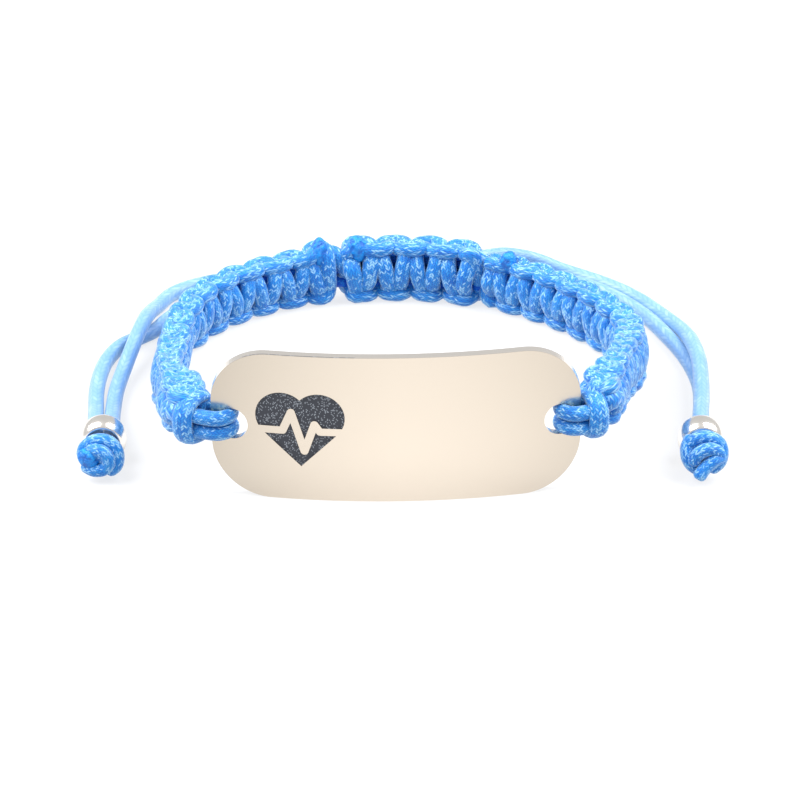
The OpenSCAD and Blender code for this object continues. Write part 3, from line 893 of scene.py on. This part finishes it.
# %% Value
class Value:
    """A number that changes over a surface. Python's operators add Math nodes to its finish."""

    def __init__(self, finish, socket):
        self.finish, self.socket = finish, socket

    def apply(self, operation, *others):
        """Any sum that a Math node does, on this value and others."""
        sockets = dict(enumerate((self, *others)))
        return self.finish.value("ShaderNodeMath", {"operation": operation}, sockets)

    def __add__(self, other):
        return self.apply("ADD", other)

    def __sub__(self, other):
        return self.apply("SUBTRACT", other)

    def __mul__(self, other):
        return self.apply("MULTIPLY", other)

    def __truediv__(self, other):
        return self.apply("DIVIDE", other)

    def __mod__(self, other):
        return self.apply("FLOORED_MODULO", other)

    def __pow__(self, other):
        return self.apply("POWER", other)

    def __rsub__(self, other):
        return self * -1 + other

    def above(self, edge):
        """1 where the value is above an edge, and 0 elsewhere."""
        return self.apply("GREATER_THAN", edge)


print("values can be joined by + - * / % and **")

# %% [markdown]
# ## Mixing finishes
# A finish is a small graph of nodes that ends in one shader. It could be clicked together by
# hand, but in code it can be used again for each kind of cord. One method makes any node from its
# type, its settings and what goes into its sockets.


# %% Finish
class Finish:
    """A material being mixed for one of the bracelet's surfaces."""

    def __init__(self, name):
        self.material = bpy.data.materials.new(name)
        self.material.use_nodes = True
        self.tree = self.material.node_tree
        self.tree.nodes.clear()

    def node(self, kind, settings=None, sockets=None):
        """Any node, from its type, its settings and what goes into its sockets."""
        made = self.tree.nodes.new(kind)
        for key, setting in (settings or {}).items():
            setattr(made, key, setting)
        for key, entry in (sockets or {}).items():
            if isinstance(entry, Value):
                self.tree.links.new(entry.socket, made.inputs[key])
            else:
                made.inputs[key].default_value = entry
        return made

    def value(self, kind, settings=None, sockets=None, output=0):
        """The same, as the value that comes out of the node."""
        return Value(self, self.node(kind, settings, sockets).outputs[output])

    def mix(self, share, first, second):
        """A colour between two. A Mix node has its colours in sockets 6 and 7, out of output 2."""
        sockets = {0: share, 6: colour_of(first), 7: colour_of(second)}
        return self.value("ShaderNodeMix", {"data_type": "RGBA"}, sockets, 2)

    def bump(self, height, distance):
        """Light and shade as if the surface stood out by a height from 0 to 1, times a distance."""
        sockets = {"Height": height, "Distance": distance, "Strength": 1.0}
        return self.value("ShaderNodeBump", None, sockets)

    def surface(self, **sockets):
        """The finished material, from what goes into the shader's sockets."""
        named = {key.replace("_", " "): colour_of(entry) for key, entry in sockets.items()}
        shader = self.node("ShaderNodeBsdfPrincipled", None, named)
        output = self.node("ShaderNodeOutputMaterial")
        self.tree.links.new(shader.outputs[0], output.inputs[0])
        return self.material


def colour_of(entry):
    """A colour as a socket wants it, with its alpha."""
    return (*entry, 1.0) if isinstance(entry, tuple) and len(entry) == 3 else entry


print("a colour for a socket, for example:", colour_of((0.0, 0.2, 0.7)))

# %% [markdown]
# ## Braided nylon
# The cord is a round braid: flat yarns run round it in both directions and pass over and under
# each other, so its surface is a pattern of small slanted flecks. Each fleck is a diamond
# between two pairs of lines, and it is a yarn of one direction or the other in turn. Its colour
# holds painted light: painted shade in the grooves between yarns, crowns paler partly at random
# and partly as a painted highlight, and a painted glint on the flecks that a random number picks.
# Real yarns as meshes would take millions of faces, and at this size a pattern with a bump looks
# the same.


# %% Cord finish
NO_GLINT = 0.6  # the share of the flecks that get no painted glint


def braided_nylon(name, colours, yarns=20, pitch=0.27, height=0.04, sheen=0.75):
    """The surface of a braided cord: its colours from the painted shade of the grooves to the
    painted glints, the number of columns round it, the millimetres from pick to pick, its yarns'
    height, and its sheen."""
    deep, middle, pale, painted_glint_colour = colours
    cord = Finish(name)
    uv = cord.node("ShaderNodeUVMap", {"uv_map": "cord"})
    apart = cord.node("ShaderNodeSeparateXYZ", None, {0: Value(cord, uv.outputs[0])})
    along, around = (Value(cord, apart.outputs[k]) for k in (0, 1))
    column = around * yarns
    column_number, within = column.apply("FLOOR"), column.apply("FRACT")
    leans_left = column_number % 2
    pick = along / pitch + column * (leans_left * 2 - 1)
    pick_number, across_pick = pick.apply("FLOOR"), pick.apply("FRACT")
    crown = (across_pick * (1 - across_pick) * 4) ** 0.7
    yarn = crown * (within * (1 - within) * 4) ** 0.4
    fleck = {0: column_number, 1: pick_number, 2: leans_left}
    cell = cord.value("ShaderNodeCombineXYZ", None, fleck)
    luck = cord.value("ShaderNodeTexWhiteNoise", {"noise_dimensions": "3D"}, {"Vector": cell})
    spot = Value(cord, cord.node("ShaderNodeTexCoord").outputs["Object"])
    drift = cord.value("ShaderNodeTexNoise", None, {"Vector": spot, "Scale": 260.0, "Detail": 2.0})
    # painted shade: the grooves between yarns get the deep colour and the crowns the middle one,
    # with a random drift of tone
    body = cord.mix(yarn * 0.8 + (drift - 0.5) * 0.7, deep, middle)
    # crowns paler at random, partly the yarns' own tone and partly painted highlight
    lighter = cord.mix(luck * yarn * 0.9, body, pale)
    # painted glints: the crowns of the flecks that luck picks get the glint colour
    bright = ((luck - NO_GLINT) / (1 - NO_GLINT)).apply("MAXIMUM", 0.0)
    weave_with_painted_light = cord.mix(bright**0.7 * yarn * 0.62, lighter, painted_glint_colour)
    return cord.surface(
        Base_Color=weave_with_painted_light,
        Roughness=0.38,
        Normal=cord.bump(yarn, height * MM),
        Specular_IOR_Level=min(0.38, 0.15 + sheen),
        Sheen_Weight=sheen,
        Sheen_Roughness=0.32,
        Sheen_Tint=(0.7, 0.9, 1.0),
    )


knot_nylon = braided_nylon("knotted_nylon", (
    (0.0, 0.065, 0.42), (0.0, 0.21, 0.67), (0.05, 0.39, 0.77), (0.5, 0.75, 0.9),
))
# painted shade: the core cords are the same nylon, given deeper colours and no sheen to stand for
# the shade under the knots
shaded_core_nylon = braided_nylon("shaded_core_nylon", (
    (0.0, 0.04, 0.38), (0.0, 0.09, 0.58), (0.0, 0.15, 0.65), (0.02, 0.24, 0.72),
), sheen=0.0)
# painted light: the tails are the same nylon, given paler, greyer colours for the light on their
# tops as they lie in the open
lit_tail_nylon = braided_nylon("lit_tail_nylon", (
    (0.13, 0.28, 0.54), (0.18, 0.34, 0.57), (0.22, 0.38, 0.59), (0.28, 0.44, 0.62),
), yarns=10, pitch=1.1, height=0.02, sheen=0.4)
melted = Finish("melted_nylon")
lump_spot = Value(melted, melted.node("ShaderNodeTexCoord").outputs["Object"])
coarse = {"Vector": lump_spot, "Scale": 1300.0, "Detail": 3.0}
fine = {"Vector": lump_spot, "Scale": 5000.0, "Detail": 2.0}
clouds, scuffs = (melted.value("ShaderNodeTexNoise", None, noise) for noise in (coarse, fine))
melted_nylon = melted.surface(
    Base_Color=melted.mix((clouds - 0.4) * 5, (0.0, 0.11, 0.48), (0.0, 0.25, 0.74)),
    Roughness=scuffs * 0.4 + 0.2,
    Normal=melted.bump(clouds + scuffs * 0.3, 0.5 * MM),
)
for pieces, surface in (
    (lumps, melted_nylon), (cords, knot_nylon), (cores, shaded_core_nylon), (tails + roots, lit_tail_nylon),
):
    for piece in pieces:
        piece.data.materials.append(surface)
print("cord finishes are on", len(lumps + cords + cores + tails + roots), "pieces")

# %% [markdown]
# ## Steel beads
# The beads are bright polished steel. A lathe leaves fine lines that run round them, drawn by
# noise. Their lower half is painted darker by height, as a painted reflection of the ground.

# %% Bead finish
LIT_FROM = 2.4  # the height in millimetres below which a bead is painted darker, a painted reflection
bead_steel = Finish("bead_steel")
bead_spot = Value(bead_steel, bead_steel.node("ShaderNodeTexCoord").outputs["Object"])
bead_places = bead_steel.node("ShaderNodeSeparateXYZ", None, {0: bead_spot})
bead_height = Value(bead_steel, bead_places.outputs[2]) * 1000
stretched = bead_steel.value(
    "ShaderNodeVectorMath", {"operation": "MULTIPLY"}, {0: bead_spot, 1: (300.0, 9000.0, 300.0)}
)
turning_lines = bead_steel.value(
    "ShaderNodeTexNoise", None, {"Vector": stretched, "Scale": 1.0, "Detail": 2.0}
)
# painted reflection: below LIT_FROM the bead's colour darkens, as if mirroring the ground; the
# noise is real lathe lines
lathe_lines_and_painted_reflection = turning_lines * 0.5 + (LIT_FROM - bead_height) * 0.45
bead_surface = bead_steel.surface(
    Base_Color=bead_steel.mix(lathe_lines_and_painted_reflection, (0.92, 0.88, 0.83), (0.6, 0.53, 0.47)),
    Metallic=1.0,
    Roughness=turning_lines * 0.12 + 0.16,
    Normal=bead_steel.bump(turning_lines, 0.002 * MM),
)
for bead in beads:
    bead.data.materials.append(bead_surface)
print("the beads' finish is on", len(beads), "pieces")

# %% [markdown]
# ## The plate's polish and engraving
# The plate is finely polished too, in a warm tone that it takes from the light. Its colour holds
# painted shade: a little darker towards its ends, because its curve turns them away, more at the
# left end, and towards its top. Its rim walls are painted paler, as painted light. Its engraving
# is burnt dark, with fine pale specks painted in as glints. The floor of the cut is found by its
# depth below the curved face, and that is the plate's bending radius less the distance from the
# bend's axis.

# %% Plate finish
MARK_DEPTH = 0.15
MARK_FROM, MARK_TO = 5.5, 18.0  # the engraving's two sides, in millimetres left of the middle
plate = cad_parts["id_plate"]
steel = Finish("plate_steel")
plate_spot = Value(steel, steel.node("ShaderNodeTexCoord").outputs["Object"])
plate_places = steel.node("ShaderNodeSeparateXYZ", None, {0: plate_spot})
x, y, z = (Value(steel, plate_places.outputs[k]) for k in range(3))
from_axis_x = x * 1000 - PLATE_MIDDLE[0]
from_axis_y = y * 1000 - (PLATE_MIDDLE[1] + PLATE_BEND)
reach = (from_axis_x * from_axis_x + from_axis_y * from_axis_y) ** 0.5
below_face = PLATE_BEND - reach
leftwards = x * -1000
in_cut = below_face.above(MARK_DEPTH * 0.7) * (1 - below_face.above(MARK_DEPTH * 1.4))
in_cut = in_cut * leftwards.above(MARK_FROM) * (1 - leftwards.above(MARK_TO))
grain = {0: plate_spot, "Scale": 9000.0}
cell = {0: steel.value("ShaderNodeVectorMath", {"operation": "SCALE"}, grain)}
fleck = {"Vector": steel.value("ShaderNodeVectorMath", {"operation": "FLOOR"}, cell)}
speck = steel.value("ShaderNodeTexWhiteNoise", {"noise_dimensions": "3D"}, fleck)
# painted glints: pale specks on the burnt dark of the engraving
burnt_with_painted_glints = steel.mix(speck.above(0.86) * 0.45, (0.028, 0.032, 0.045), (0.5, 0.55, 0.62))
# painted shade: darker towards the plate's ends, more at the left end, and towards its top
ends = (from_axis_x.apply("ABSOLUTE") / (PLATE_LENGTH / 2)) ** 2
left_end = (from_axis_x * -1 / (PLATE_LENGTH / 2)).apply("MAXIMUM", 0.0)
shade = ends * 0.5 + left_end * 0.25 + z * 13
polish_and_painted_shade = steel.mix(shade, (0.815, 0.72, 0.61), (0.5, 0.445, 0.375))
# painted light: the rim's walls get a paler steel colour than the face
rim = below_face.above(0.05) * (1 - below_face.above(PLATE_THICKNESS - 0.05))
walls = steel.mix(rim, polish_and_painted_shade, (0.95, 0.9, 0.84))
satin = steel.value("ShaderNodeTexNoise", None, {"Vector": plate_spot, "Scale": 1500.0})
plate_surface = steel.surface(
    Base_Color=steel.mix(in_cut, walls, burnt_with_painted_glints),
    Metallic=1 - in_cut,
    Roughness=in_cut * 0.35 + satin * 0.08 + 0.18,
    Specular_IOR_Level=0.5,
)
plate.data.materials.clear()
plate.data.materials.append(plate_surface)
print("the plate's engraving is", MARK_DEPTH, "mm deep")

# %% [markdown]
# ## Studio
# The product stands on a light table: a white sheet that glows a little, so that hardly any
# shadow shows. The surround is pale grey, and a large soft lamp stands high at each side. The
# polished beads mirror the two lamps as white patches, with the grey surround between them. A
# small bright lamp would do for light alone, but steel shows what it mirrors, so they are large.

# %% Studio
SURROUND = 0.62
SOFTBOX_SIZE = (0.55, 0.45)
FLOOR_HALF = 2.0
world = bpy.data.worlds.new("studio")
world.use_nodes = True
surround = world.node_tree.nodes["Background"]
surround.inputs[0].default_value = (1, 1, 1, 1)
surround.inputs[1].default_value = SURROUND
scene.world = world
scene.view_settings.view_transform = "Standard"


def softbox(name, stands_at, power):
    """A large soft lamp that faces the bracelet."""
    lamp_data = bpy.data.lights.new(name, "AREA")
    lamp_data.shape = "RECTANGLE"
    lamp_data.size, lamp_data.size_y = SOFTBOX_SIZE
    lamp_data.energy = power
    lamp = bpy.data.objects.new(name, lamp_data)
    lamp.location = stands_at
    lamp.rotation_euler = (-Vector(stands_at)).to_track_quat("-Z", "Y").to_euler()
    scene.collection.objects.link(lamp)


softbox("left_softbox", (-0.36, 0.03, 0.46), power=6.2)
softbox("right_softbox", (0.36, 0.03, 0.46), power=5.6)

floor_mesh = bpy.data.meshes.new("floor")
corners = [(FLOOR_HALF * a, FLOOR_HALF * b, 0) for a, b in ((-1, -1), (1, -1), (1, 1), (-1, 1))]
floor_mesh.from_pydata(corners, [], [(0, 1, 2, 3)])
floor = bpy.data.objects.new("floor", floor_mesh)
scene.collection.objects.link(floor)
paper = Finish("white_paper").surface(
    Base_Color=(0.18, 0.18, 0.18),
    Roughness=0.9,
    Emission_Color=(1.0, 1.0, 1.0),
    Emission_Strength=0.75,
)
floor_mesh.materials.append(paper)
